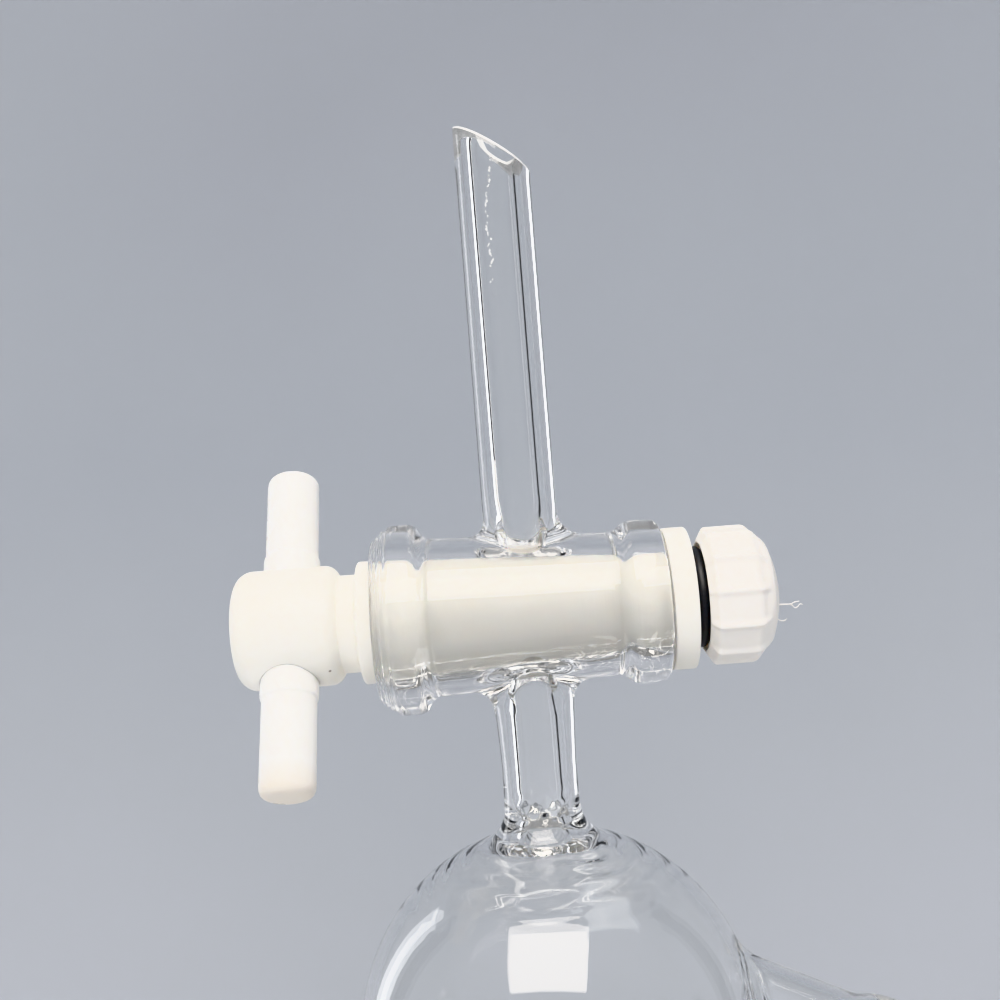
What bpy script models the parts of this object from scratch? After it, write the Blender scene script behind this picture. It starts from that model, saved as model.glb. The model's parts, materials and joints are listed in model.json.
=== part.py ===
"""Separatory funnel, 100 ml: a glass globe with a drain stem, a PTFE stopcock,
a stoppered top socket and a stoppered side socket.

The funnel stands as it is used, stem down. The origin is the centre of the
support ring that the globe rests in, +Z is up along the stem's axis, and +X
points along the stopcock's axis towards its handle. The fused glass body is
split into its tubes and the globe into a bowl, a belt and a crown, which keep
a hair gap where they meet.
"""
import math

import bmesh
import bpy
from mathutils import Vector

MM = 0.001
JOIN_GAP = 0.3 * MM  # between two glass tubes that are fused on the real funnel
FIT_GAP = 0.15 * MM  # radial clearance of a ground cone, a plug or a pressed bar
WELD = 0.0001 * MM  # vertices closer than this are one
TAPER = 0.05  # radius gained per unit of length on a 1:10 ground cone

# Globe
GLOBE_R = 32.0 * MM
GLOBE_INNER_R = 30.2 * MM
RING_R = 25.0 * MM  # the support ring that the globe sits in
GLOBE_Z = math.sqrt(GLOBE_R**2 - RING_R**2)
BELT_EDGE = 38.0  # latitude of the belt's two edges, in degrees

# Stopcock barrel, measured along its axis from the stem's axis
AXIS_Z = GLOBE_Z - 67.5 * MM
BARREL_R = 12.05 * MM
BARREL_TAPER = 0.043
BARREL_END = 24.1 * MM
BARREL_TAIL = -22.1 * MM
BARREL_RIM_R = 13.15 * MM
FLANGE_R = 15.25 * MM  # the wide flange near the handle
FLANGE_FOOT = 15.6 * MM
FLANGE_START = 17.3 * MM
FLANGE_WIDTH = 4.6 * MM
BEAD_R = 13.15 * MM  # the rounded bead at the tail
BEAD_START = -16.5 * MM
BEAD_FOOT = -14.8 * MM

# Stem and drain neck
TUBE_R = 6.0 * MM
NECK_R = 6.1 * MM
BORE_R = 3.25 * MM
STEM_ROOT_R = 8.5 * MM
STEM_LENGTH = 74.45 * MM  # from the stopcock's axis to the middle of the tip
TIP_ANGLE = math.radians(34.0)
DRAIN_FILLET_R = 7.0 * MM

# Plug
PLUG_R = 8.55 * MM  # at the stem's axis
PLUG_CONE_END = 26.6 * MM
PLUG_CONE_TAIL = -21.7 * MM
PLUG_TAIL_END = -36.0 * MM
PLUG_TAIL_R = 4.7 * MM
PLUG_TAIL_HALF_FLAT = 3.9 * MM
PLUG_BORE_R = 2.0 * MM
COLLAR_R = 7.85 * MM
COLLAR_START = 27.1 * MM
HUB_R = 9.6 * MM
HUB_START = 29.8 * MM
HUB_SHOULDER_R = 2.3 * MM
HUB_END = 46.6 * MM
HUB_CORNER_R = 3.0 * MM

# Handle bar
HANDLE_X = 38.2 * MM
HANDLE_TILT = math.radians(31.0)
HANDLE_HALF = 28.0 * MM
HANDLE_R = 4.35 * MM
HANDLE_MIDDLE_R = 4.62 * MM
HANDLE_MIDDLE_HALF = 12.1 * MM

# Washer, O-ring and nut on the plug's tail
WASHER_R = 11.4 * MM
WASHER_FACE = -22.4 * MM
WASHER_BACK = -26.2 * MM
TAIL_BORE_R = 5.0 * MM
O_RING_R = 7.0 * MM
O_RING_SECTION_R = 1.15 * MM
O_RING_X = -27.5 * MM
NUT_R = 11.1 * MM
NUT_LIP_R = 9.1 * MM
NUT_FACE = -28.1 * MM
NUT_SHOULDER = -29.2 * MM
NUT_BACK_SHOULDER = -36.0 * MM
NUT_BACK = -38.6 * MM
NUT_TOP = -40.3 * MM
NUT_RECESS_R = 8.65 * MM
NUT_RECESS_END = -29.0 * MM
NUT_BORE_END = -37.4 * MM
NUT_DOME_R = 7.9 * MM
NUT_FLUTES = 12
NUT_FLUTE_DEPTH = 0.5 * MM
NUT_TURN = math.radians(7.5)  # how far its ridges are turned from the stopcock's plane

# Top neck and its 19/26 socket
TOP_NECK_R = 10.0 * MM
TOP_NECK_BORE_R = 8.0 * MM
TOP_FILLET_R = 4.0 * MM
TOP_NECK_START = 54.0 * MM
TOP_SOCKET_START = 62.0 * MM
TOP_SOCKET_R = 8.1 * MM
TOP_SOCKET_LENGTH = 26.0 * MM

# Side neck and its 14/23 socket, measured along its axis from the globe's skin
SIDE_TILT = math.radians(-64.5)
SIDE_OFFSET = 15.4 * MM  # from the globe's centre to the side axis
SIDE_TUBE_R = 6.5 * MM
SIDE_BORE_R = 5.0 * MM
SIDE_TUBE_END = 15.3 * MM
SIDE_SOCKET_START = 18.8 * MM
SIDE_SOCKET_R = 6.1 * MM
SIDE_SOCKET_LENGTH = 23.0 * MM

# Faces around each turned piece
GLOBE_SIDES = 36
BARREL_SIDES = 36
TUBE_SIDES = 28
SOCKET_SIDES = 32
NUT_SIDES = 4 * NUT_FLUTES
BAR_SIDES = 20

GLASS = ("clear_glass", (0.87, 0.92, 0.91), 0.02)
PTFE = ("ptfe", (0.92, 0.90, 0.85), 0.42)
PLASTIC = ("white_plastic", (0.90, 0.90, 0.88), 0.32)
RUBBER = ("black_rubber", (0.02, 0.02, 0.025), 0.55)


def clear_scene():
    for old in list(bpy.data.objects):
        bpy.data.objects.remove(old, do_unlink=True)


def material(name, look):
    """One Principled material for one sub-part."""
    finish, colour, roughness = look
    made = bpy.data.materials.new(f"{name}_{finish}")
    made.use_nodes = True
    shader = made.node_tree.nodes["Principled BSDF"]
    shader.inputs["Base Color"].default_value = (*colour, 1.0)
    shader.inputs["Roughness"].default_value = roughness
    shader.inputs["Metallic"].default_value = 0.0
    return made


def axis_empty(name, location, tilt):
    """An empty whose local Z is a joint's axis, tilted about Y from world Z."""
    empty = bpy.data.objects.new(name, None)
    empty.location = location
    empty.rotation_euler = (0.0, tilt, 0.0)
    bpy.context.collection.objects.link(empty)
    return empty


def arc(centre, radius, start, end, steps):
    """Points of an arc in the (radius, height) plane, from start to end degrees."""
    points = []
    for step in range(steps + 1):
        angle = math.radians(start + (end - start) * step / steps)
        points.append((centre[0] + radius * math.cos(angle), centre[1] + radius * math.sin(angle)))
    return points


def turned(profile, sides, closed):
    """Spin an outline of (radius, height) points about local Z into a solid.

    A closed outline makes a ring or a tube; an open one starts and ends on
    the axis and makes a solid.
    """
    bm = bmesh.new()
    verts = [bm.verts.new((radius, 0.0, height)) for radius, height in profile]
    pairs = list(zip(verts, verts[1:]))
    if closed:
        pairs.append((verts[-1], verts[0]))
    edges = [bm.edges.new(pair) for pair in pairs]
    bmesh.ops.spin(
        bm, geom=verts + edges, cent=(0, 0, 0), axis=(0, 0, 1),
        angle=2 * math.pi, steps=sides, use_merge=True,
    )
    bmesh.ops.remove_doubles(bm, verts=bm.verts, dist=WELD)
    bmesh.ops.recalc_face_normals(bm, faces=bm.faces)
    return bm


def piece(name, bm, look, parent=None):
    """Make an object of the mesh, on its parent's axis."""
    mesh = bpy.data.meshes.new(name)
    bm.to_mesh(mesh)
    bm.free()
    mesh.shade_smooth()
    mesh.set_sharp_from_angle(angle=math.radians(35))
    made = bpy.data.objects.new(name, mesh)
    bpy.context.collection.objects.link(made)
    made.parent = parent
    if look:
        mesh.materials.append(material(name, look))
    return made


def cutter(name, bm, parent=None):
    """A guide solid that only takes material away from others."""
    made = piece(name, bm, None, parent)
    made.hide_render = True
    made.display_type = "WIRE"
    return made


def cut(target, tool):
    modifier = target.modifiers.new(tool.name, "BOOLEAN")
    modifier.operation = "DIFFERENCE"
    modifier.object = tool


def rod(radius, low, high, sides):
    """A plain solid rod along local Z."""
    return turned([(0, low), (radius, low), (radius, high), (0, high)], sides, closed=False)


def axis_distance(vert):
    return math.hypot(vert.co.x, vert.co.y)


def press_flats(bm, half_width, within_r):
    """Press two flats, square to local Y, into the length of radius within_r."""
    for vert in bm.verts:
        if axis_distance(vert) < within_r + WELD:
            vert.co.y = max(-half_width, min(half_width, vert.co.y))


def shape_octagon(bm, low, high):
    """Move the points between two heights from a circle onto an octagon in it."""
    corner = math.pi / 8
    for vert in bm.verts:
        if low <= vert.co.z <= high and axis_distance(vert) > WELD:
            angle = math.atan2(vert.co.y, vert.co.x) % (2 * corner) - corner
            scale = math.cos(corner) / math.cos(angle)
            vert.co.x *= scale
            vert.co.y *= scale


def barrel_radius(along):
    return BARREL_R + BARREL_TAPER * along


def plug_radius(along):
    return PLUG_R + TAPER * along


def fillet_centre(tube_radius, fillet, shell_radius, up):
    """Centre of the arc that blends a tube into the globe's sphere."""
    radius = tube_radius + fillet
    rise = math.sqrt((shell_radius + fillet) ** 2 - radius**2)
    return radius, GLOBE_Z + up * rise


def fillet_angle(centre):
    """Degrees from a fillet's centre to the globe's centre."""
    return math.degrees(math.atan2(GLOBE_Z - centre[1], -centre[0]))


def shell_arc(shell_radius, low, high, steps):
    """One skin of the globe between two latitudes in degrees."""
    return arc((0, GLOBE_Z), shell_radius, low, high, steps)


def bowl_skin(shell_radius, tube_radius, fillet):
    """One skin of the globe from the drain neck's fillet up to the belt."""
    centre = fillet_centre(tube_radius, fillet, shell_radius, -1)
    meet = fillet_angle(centre)
    return arc(centre, fillet, 180, meet, 4) + shell_arc(shell_radius, meet - 180, -BELT_EDGE, 4)[1:]


def crown_skin(shell_radius, tube_radius, fillet):
    """One skin of the globe from the belt up to the top neck's fillet."""
    centre = fillet_centre(tube_radius, fillet, shell_radius, 1)
    meet = fillet_angle(centre) % 360
    return shell_arc(shell_radius, BELT_EDGE, meet - 180, 3)[:-1] + arc(centre, fillet, meet, 180, 3)


def make_stem(barrel_cutter):
    """The drain tube below the stopcock, its tip cut slanting."""
    root = -BARREL_R + 5.0 * MM
    spread = -BARREL_R - 0.6 * MM
    tip = -STEM_LENGTH - 12.0 * MM
    outline = [(BORE_R, root), (BORE_R, tip), (TUBE_R, tip)]
    outline += arc((TUBE_R + 5.0 * MM, spread - 4.3 * MM), 5.0 * MM, 180, 120, 3)
    outline += [(STEM_ROOT_R, root)]
    bm = turned(outline, TUBE_SIDES, closed=True)
    normal = Vector((-math.sin(TIP_ANGLE), 0.0, -math.cos(TIP_ANGLE)))
    bmesh.ops.bisect_plane(
        bm, geom=bm.verts[:] + bm.edges[:] + bm.faces[:], dist=WELD,
        plane_co=(0.0, 0.0, -STEM_LENGTH), plane_no=normal, clear_outer=True,
    )
    rims = [edge for edge in bm.edges if edge.is_boundary]
    bmesh.ops.bridge_loops(bm, edges=rims)
    bmesh.ops.recalc_face_normals(bm, faces=bm.faces)
    stem = piece("stem", bm, GLASS)
    stem.location = (0.0, 0.0, AXIS_Z)
    cut(stem, barrel_cutter)


def make_drain_neck(barrel_cutter, globe_foot):
    """The short tube between the stopcock and the globe."""
    top = globe_foot - JOIN_GAP - AXIS_Z
    root = BARREL_R - 5.0 * MM
    spread = BARREL_R + 0.6 * MM
    outline = [(BORE_R, top), (BORE_R, root), (STEM_ROOT_R, root)]
    outline += arc((NECK_R + 5.0 * MM, spread + 4.3 * MM), 5.0 * MM, 240, 180, 3)
    outline += [(NECK_R, top)]
    neck = piece("drain_neck", turned(outline, TUBE_SIDES, closed=True), GLASS)
    neck.location = (0.0, 0.0, AXIS_Z)
    cut(neck, barrel_cutter)


def make_barrel(stopcock_axis):
    """The tapered barrel with a wide flange at the handle and a bead at the tail."""
    outline = [
        (plug_radius(BARREL_TAIL) + FIT_GAP, BARREL_TAIL),
        (BEAD_R - 1.9 * MM, BARREL_TAIL),
        (BEAD_R - 0.5 * MM, BARREL_TAIL + 0.8 * MM),
        (BEAD_R, BARREL_TAIL + 2.0 * MM),
        (BEAD_R, BEAD_START),
        (BEAD_R - 0.6 * MM, BEAD_START + 1.1 * MM),
        (barrel_radius(BEAD_FOOT), BEAD_FOOT),
        (barrel_radius(FLANGE_FOOT), FLANGE_FOOT),
        (FLANGE_R - 1.6 * MM, FLANGE_FOOT + 0.5 * MM),
        (FLANGE_R, FLANGE_START),
        (FLANGE_R, FLANGE_START + FLANGE_WIDTH),
        (BARREL_RIM_R + 0.3 * MM, BARREL_END - 0.8 * MM),
        (BARREL_RIM_R, BARREL_END),
        (plug_radius(BARREL_END) + FIT_GAP, BARREL_END),
    ]
    barrel = piece("stopcock_barrel", turned(outline, BARREL_SIDES, closed=True), GLASS, stopcock_axis)
    port = cutter("port_cutter", rod(BORE_R, -20 * MM, 20 * MM, TUBE_SIDES))
    port.location = (0.0, 0.0, AXIS_Z)
    cut(barrel, port)


def make_globe_bowl():
    """The globe's bottom, with a foot for the drain neck; returns the foot's height."""
    outer = bowl_skin(GLOBE_R, NECK_R, DRAIN_FILLET_R)
    inner = bowl_skin(GLOBE_INNER_R, BORE_R, DRAIN_FILLET_R - 1.0 * MM)
    foot = outer[0][1] - 0.6 * MM
    outline = [(BORE_R, foot), (NECK_R, foot)] + outer + inner[::-1]
    piece("globe_bowl", turned(outline, GLOBE_SIDES, closed=True), GLASS)
    return foot


def make_globe_belt(side_axis):
    """The globe's widest part, with the side neck's window."""
    gap = math.degrees(JOIN_GAP / GLOBE_INNER_R)
    outer = shell_arc(GLOBE_R, gap - BELT_EDGE, BELT_EDGE - gap, 6)
    inner = shell_arc(GLOBE_INNER_R, gap - BELT_EDGE, BELT_EDGE - gap, 6)
    belt = piece("globe_belt", turned(outer + inner[::-1], GLOBE_SIDES, closed=True), GLASS)
    window = cutter("side_window_cutter", rod(SIDE_BORE_R, -12 * MM, 8 * MM, TUBE_SIDES), side_axis)
    cut(belt, window)


def make_globe_crown():
    """The globe's top, with a collar for the top neck."""
    outer = crown_skin(GLOBE_R, TOP_NECK_R, TOP_FILLET_R)
    inner = crown_skin(GLOBE_INNER_R, TOP_NECK_BORE_R, TOP_FILLET_R - 1.0 * MM)
    collar = [(TOP_NECK_R, TOP_NECK_START), (TOP_NECK_BORE_R, TOP_NECK_START)]
    piece("globe_crown", turned(outer + collar + inner[::-1], GLOBE_SIDES, closed=True), GLASS)


def make_top_neck():
    """The neck above the globe, with a ground socket and a beaded rim."""
    start = TOP_NECK_START + JOIN_GAP
    rim = TOP_SOCKET_START + TOP_SOCKET_LENGTH
    outline = [
        (TOP_NECK_BORE_R, start),
        (TOP_NECK_R, start),
        (TOP_NECK_R, TOP_SOCKET_START - 3.0 * MM),
        (10.5 * MM, TOP_SOCKET_START),
        (11.3 * MM, rim - 4.0 * MM),
        (12.5 * MM, rim - 2.8 * MM),
        (12.5 * MM, rim - 0.8 * MM),
        (11.8 * MM, rim),
        (TOP_SOCKET_R + TAPER * TOP_SOCKET_LENGTH, rim),
        (TOP_SOCKET_R, TOP_SOCKET_START),
        (TOP_NECK_BORE_R, TOP_SOCKET_START - 0.8 * MM),
    ]
    piece("top_neck", turned(outline, SOCKET_SIDES, closed=True), GLASS)


def make_side_neck(side_axis):
    """The slanting side tube, widening to a ground socket with a beaded rim."""
    rim = SIDE_SOCKET_START + SIDE_SOCKET_LENGTH
    inside = -9.0 * MM
    outline = [
        (SIDE_BORE_R, inside),
        (SIDE_TUBE_R, inside),
        (SIDE_TUBE_R, SIDE_TUBE_END),
        (7.2 * MM, SIDE_TUBE_END + 1.6 * MM),
        (7.9 * MM, SIDE_SOCKET_START),
        (8.9 * MM, rim - 3.6 * MM),
        (9.9 * MM, rim - 2.6 * MM),
        (9.9 * MM, rim - 0.7 * MM),
        (9.3 * MM, rim),
        (SIDE_SOCKET_R + TAPER * SIDE_SOCKET_LENGTH, rim),
        (SIDE_SOCKET_R, SIDE_SOCKET_START),
        (SIDE_BORE_R, SIDE_TUBE_END + 1.2 * MM),
    ]
    neck = piece("side_neck", turned(outline, TUBE_SIDES, closed=True), GLASS, side_axis)
    ball_mesh = bmesh.new()
    bmesh.ops.create_uvsphere(
        ball_mesh, u_segments=48, v_segments=24, radius=GLOBE_R + JOIN_GAP,
    )
    ball = cutter("globe_cutter", ball_mesh)
    ball.location = (0.0, 0.0, GLOBE_Z)
    cut(neck, ball)


def make_plug(stopcock_axis, handle_axis):
    """The plug: a threaded tail with two flats, a ground cone, a collar and a round hub."""
    outline = [
        (0, PLUG_TAIL_END),
        (PLUG_TAIL_R - 0.6 * MM, PLUG_TAIL_END),
        (PLUG_TAIL_R, PLUG_TAIL_END + 0.6 * MM),
        (PLUG_TAIL_R, PLUG_CONE_TAIL),
        (plug_radius(PLUG_CONE_TAIL), PLUG_CONE_TAIL),
        (plug_radius(PLUG_CONE_END), PLUG_CONE_END),
        (COLLAR_R, COLLAR_START),
        (COLLAR_R, HUB_START),
    ]
    shoulder = (HUB_R - HUB_SHOULDER_R, HUB_START + HUB_SHOULDER_R)
    outline += arc(shoulder, HUB_SHOULDER_R, -60, 0, 3)
    corner = (HUB_R - HUB_CORNER_R, HUB_END - HUB_CORNER_R)
    outline += arc(corner, HUB_CORNER_R, 0, 90, 3)
    outline += [(0, HUB_END)]
    bm = turned(outline, BARREL_SIDES, closed=False)
    press_flats(bm, PLUG_TAIL_HALF_FLAT, PLUG_TAIL_R)
    plug = piece("stopcock_plug", bm, PTFE, stopcock_axis)
    bore = cutter("plug_bore_cutter", rod(PLUG_BORE_R, -12 * MM, 12 * MM, BAR_SIDES))
    bore.location = (0.0, 0.0, AXIS_Z)
    bore.rotation_euler = (HANDLE_TILT, 0.0, 0.0)
    cut(plug, bore)
    hole = rod(HANDLE_MIDDLE_R + FIT_GAP, -14 * MM, 14 * MM, BAR_SIDES)
    cut(plug, cutter("handle_hole_cutter", hole, handle_axis))


def make_handle_bar(handle_axis):
    """The straight cross bar pressed through the hub."""
    tip = 1.6 * MM
    half = arc((HANDLE_R - tip, HANDLE_HALF - tip), tip, 90, 0, 2)
    half += [
        (HANDLE_R, HANDLE_MIDDLE_HALF + 0.5 * MM),
        (HANDLE_MIDDLE_R, HANDLE_MIDDLE_HALF),
    ]
    outline = [(0, HANDLE_HALF)] + half
    outline += [(radius, -height) for radius, height in reversed(outline)]
    piece("handle_bar", turned(outline, BAR_SIDES, closed=False), PLASTIC, handle_axis)


def make_washer(stopcock_axis):
    """The flat washer, with a bore that keys on the plug's flats."""
    outline = [
        (TAIL_BORE_R, WASHER_BACK),
        (WASHER_R - 0.3 * MM, WASHER_BACK),
        (WASHER_R, WASHER_BACK + 0.3 * MM),
        (WASHER_R, WASHER_FACE - 0.3 * MM),
        (WASHER_R - 0.3 * MM, WASHER_FACE),
        (TAIL_BORE_R, WASHER_FACE),
    ]
    bm = turned(outline, BARREL_SIDES, closed=True)
    press_flats(bm, PLUG_TAIL_HALF_FLAT + JOIN_GAP, TAIL_BORE_R)
    piece("washer", bm, PTFE, stopcock_axis)


def make_o_ring(stopcock_axis):
    section = arc((O_RING_R, O_RING_X), O_RING_SECTION_R, 0, 360, 10)[:-1]
    piece("o_ring", turned(section, SOCKET_SIDES, closed=True), RUBBER, stopcock_axis)


def make_nut(stopcock_axis):
    """The fluted cap nut, with a recess for the O-ring and a low dome."""
    outline = [
        (0, NUT_TOP),
        (0.52 * NUT_DOME_R, 0.75 * NUT_TOP + 0.25 * NUT_BACK),
        (NUT_DOME_R, NUT_BACK),
        (NUT_R, NUT_BACK_SHOULDER),
        (NUT_R, NUT_SHOULDER),
        (NUT_LIP_R, NUT_FACE),
        (NUT_RECESS_R, NUT_FACE),
        (NUT_RECESS_R, NUT_RECESS_END),
        (TAIL_BORE_R, NUT_RECESS_END),
        (TAIL_BORE_R, NUT_BORE_END),
        (0, NUT_BORE_END),
    ]
    bm = turned(outline, NUT_SIDES, closed=False)
    for vert in bm.verts:
        radius = axis_distance(vert)
        if radius > NUT_R - WELD:
            angle = math.atan2(vert.co.y, vert.co.x)
            dip = NUT_FLUTE_DEPTH * (0.5 - 0.5 * math.cos(NUT_FLUTES * (angle - NUT_TURN)))
            vert.co.x *= 1.0 - dip / radius
            vert.co.y *= 1.0 - dip / radius
    piece("nut", bm, PLASTIC, stopcock_axis)


def make_stopper(name, socket_start, socket_length, socket_r, head_r, head_length, parent=None):
    """A solid stopper: a ground cone, a waist and an octagonal head with a flat top."""
    foot = socket_start + 1.0 * MM
    shoulder = socket_start + socket_length + 0.8 * MM
    head = shoulder + 3.6 * MM
    top = head + head_length
    cone_low = socket_r + TAPER * (foot - socket_start) - FIT_GAP
    cone_high = socket_r + TAPER * (shoulder - socket_start) - FIT_GAP
    outline = [
        (0, foot),
        (cone_low - 0.8 * MM, foot),
        (cone_low, foot + 0.8 * MM),
        (cone_high, shoulder),
        (cone_high - 1.4 * MM, shoulder + 1.6 * MM),
        (head_r - 1.2 * MM, head),
        (head_r, head + 1.2 * MM),
        (head_r, top - 1.2 * MM),
        (head_r - 1.2 * MM, top),
        (0, top),
    ]
    bm = turned(outline, SOCKET_SIDES, closed=False)
    shape_octagon(bm, head - WELD, top + WELD)
    piece(name, bm, GLASS, parent)


def main():
    clear_scene()
    stopcock_axis = axis_empty("stopcock_axis", (0.0, 0.0, AXIS_Z), math.radians(90))
    handle_axis = axis_empty("handle_axis", (HANDLE_X, 0.0, AXIS_Z), 0.0)
    handle_axis.rotation_euler = (HANDLE_TILT, 0.0, 0.0)

    along = Vector((math.sin(SIDE_TILT), 0.0, math.cos(SIDE_TILT)))
    across = Vector((-along.z, 0.0, along.x))
    depth = math.sqrt(GLOBE_R**2 - SIDE_OFFSET**2)
    centre = Vector((0.0, 0.0, GLOBE_Z))
    side_axis = axis_empty("side_axis", centre + across * SIDE_OFFSET + along * depth, SIDE_TILT)

    barrel_skin = [
        (0, -19 * MM),
        (barrel_radius(-19 * MM) + JOIN_GAP, -19 * MM),
        (barrel_radius(19 * MM) + JOIN_GAP, 19 * MM),
        (0, 19 * MM),
    ]
    barrel_cutter = cutter("barrel_cutter", turned(barrel_skin, 2 * BARREL_SIDES, closed=False), stopcock_axis)

    globe_foot = make_globe_bowl()
    make_globe_belt(side_axis)
    make_globe_crown()
    make_stem(barrel_cutter)
    make_drain_neck(barrel_cutter, globe_foot)
    make_barrel(stopcock_axis)
    make_top_neck()
    make_side_neck(side_axis)
    make_plug(stopcock_axis, handle_axis)
    make_handle_bar(handle_axis)
    make_washer(stopcock_axis)
    make_o_ring(stopcock_axis)
    make_nut(stopcock_axis)
    make_stopper(
        "top_stopper", TOP_SOCKET_START, TOP_SOCKET_LENGTH, TOP_SOCKET_R,
        head_r=13.5 * MM, head_length=11.0 * MM,
    )
    make_stopper(
        "side_stopper", SIDE_SOCKET_START, SIDE_SOCKET_LENGTH, SIDE_SOCKET_R,
        head_r=11.0 * MM, head_length=9.0 * MM, parent=side_axis,
    )


main()
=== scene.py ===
"""Looks of the separatory funnel: one continuous glass body, its PTFE stopcock
and its two stoppers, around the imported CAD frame. Lengths are in metres."""
import json
import math

import bmesh
import bpy
import numpy as np
from mathutils import Matrix, Vector


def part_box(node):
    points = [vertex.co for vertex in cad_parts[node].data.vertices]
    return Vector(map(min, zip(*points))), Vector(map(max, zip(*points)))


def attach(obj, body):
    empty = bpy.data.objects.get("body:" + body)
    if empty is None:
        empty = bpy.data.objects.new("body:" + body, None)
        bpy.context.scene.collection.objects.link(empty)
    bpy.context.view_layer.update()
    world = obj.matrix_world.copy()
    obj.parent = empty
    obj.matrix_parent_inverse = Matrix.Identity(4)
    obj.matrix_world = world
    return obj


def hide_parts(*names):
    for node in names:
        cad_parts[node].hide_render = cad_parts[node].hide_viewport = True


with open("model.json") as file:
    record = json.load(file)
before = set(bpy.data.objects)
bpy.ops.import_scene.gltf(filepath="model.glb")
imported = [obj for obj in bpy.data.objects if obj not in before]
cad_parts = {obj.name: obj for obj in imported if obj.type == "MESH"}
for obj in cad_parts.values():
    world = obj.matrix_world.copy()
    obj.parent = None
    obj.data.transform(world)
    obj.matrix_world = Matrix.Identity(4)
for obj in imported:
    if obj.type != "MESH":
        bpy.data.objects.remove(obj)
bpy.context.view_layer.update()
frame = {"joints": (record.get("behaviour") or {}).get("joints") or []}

MM = 0.001
joints = {joint["name"]: joint for joint in frame["joints"]}

# Places that the frame gives
STOPCOCK_Z = joints["stopcock_turn"]["pos_m"][2]
SIDE_AXIS = np.array(joints["side_stopper_pull"]["axis"])
GLOBE_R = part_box("globe_belt")[1].y
RING_R = 25 * MM
GLOBE_Z = math.sqrt(GLOBE_R**2 - RING_R**2)
TIP_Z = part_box("stem")[0].z
BARREL_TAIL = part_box("stopcock_barrel")[0].x
BARREL_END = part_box("stopcock_barrel")[1].x
FLANGE_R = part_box("stopcock_barrel")[1].z - STOPCOCK_Z
TOP_RIM_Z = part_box("top_neck")[1].z
HUB_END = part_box("stopcock_plug")[1].x
TAIL_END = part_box("stopcock_plug")[0].x
HANDLE_X = (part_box("handle_bar")[0].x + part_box("handle_bar")[1].x) / 2
WASHER_BACK, WASHER_FACE = (corner.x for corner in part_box("washer"))
WASHER_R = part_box("washer")[1].z - STOPCOCK_Z
O_RING_X = (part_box("o_ring")[0].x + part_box("o_ring")[1].x) / 2
NUT_TOP, NUT_FACE = (corner.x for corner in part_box("nut"))

S = np.array([0.0, 0.0, STOPCOCK_Z])  # where the stem's and the stopcock's axes cross
C = np.array([0.0, 0.0, GLOBE_Z])  # centre of the globe
X, Y, Z = np.eye(3)

# Glass tubes
COLUMNS = 128  # points round every glass tube
TIP_SLOPE = math.tan(math.radians(34))
STEM_R = 6.0 * MM
BORE_R = 3.25 * MM
NECK_ROOT_R = 6.5 * MM
NECK_R = 6.08 * MM
BARREL_R = 12.05 * MM
BARREL_TAPER = 0.043
PLUG_BORE_R = 8.67 * MM
CONE_TAPER = 0.05
BARREL_WINDOW = 13 * MM  # half length of the barrel's patch round each tube
FLANGE_START, FLANGE_END = 17.2 * MM, 21.2 * MM
BEAD_R = 13.15 * MM
BEAD_START, BEAD_FOOT = -16.5 * MM, -14.6 * MM
NECK_STRAIGHT = 24.0 * MM  # from the stopcock's axis to where the drain neck stops tapering

# Globe and its necks
GLOBE_OUTER_R = GLOBE_R - 0.02 * MM
GLOBE_INNER_R = 30.2 * MM
WINDOW_LOW, WINDOW_HIGH, WINDOW_CELLS = -32, 28, 40  # the side tube's patch, in degrees
SIDE_OFFSET = 15.4 * MM  # from the globe's centre to the side tube's axis
SIDE_UP = np.array([SIDE_AXIS[2], 0.0, -SIDE_AXIS[0]])
SIDE_FOOT = C - SIDE_OFFSET * SIDE_UP + math.sqrt(GLOBE_R**2 - SIDE_OFFSET**2) * SIDE_AXIS
SIDE_R = 6.5 * MM
SIDE_BORE_R = 5.0 * MM
TOP_NECK_R = 10.0 * MM
TOP_NECK_BORE_R = 8.0 * MM
TOP_SOCKET = 26 * MM
TOP_SOCKET_R = 8.1 * MM
SIDE_SOCKET_START = 18.8 * MM
SIDE_SOCKET = 23 * MM
SIDE_SOCKET_R = 6.1 * MM
TOP_STOPPER_R, TOP_STOPPER_HEAD = 13.5 * MM, 11 * MM
SIDE_STOPPER_R, SIDE_STOPPER_HEAD = 11 * MM, 9 * MM

# Plug, handle and nut
HANDLE_TILT = math.radians(31)  # how far the stopcock is turned at rest
HANDLE_ALONG = np.array([0, -math.sin(HANDLE_TILT), math.cos(HANDLE_TILT)])
HANDLE_ACROSS = np.array([0, math.cos(HANDLE_TILT), math.sin(HANDLE_TILT)])
HANDLE_HALF = 28 * MM
HANDLE_R = 4.35 * MM
HANDLE_MIDDLE_R = 4.62 * MM
HANDLE_MIDDLE_HALF = 12.1 * MM
PLUG_R = 8.55 * MM
PLUG_PORT_R = 2.0 * MM
HUB_R = 9.6 * MM
TAIL_R = 4.7 * MM
TAIL_HALF_FLAT = 3.9 * MM
TAIL_BORE_R = 5.0 * MM
THREAD_PITCH = 1.5 * MM
THREAD_START, THREAD_END = 22.8, 35.9  # millimetres from the stem's axis
NUT_R = 11.1 * MM
NUT_SHOULDER = -29.3 * MM
NUT_BACK_SHOULDER = -36.0 * MM
NUT_BACK = -38.6 * MM
NUT_BORE_END = -37.4 * MM
NUT_DOME_R = 7.9 * MM
NUT_FLUTES = 12
NUT_TURN = math.radians(7.5)  # from the stopcock's plane to the nearest ridge

CLEAR, GROUND = 0, 1  # the places of a glass piece's two materials


# ---------------------------------------------------------------- outlines

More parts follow.
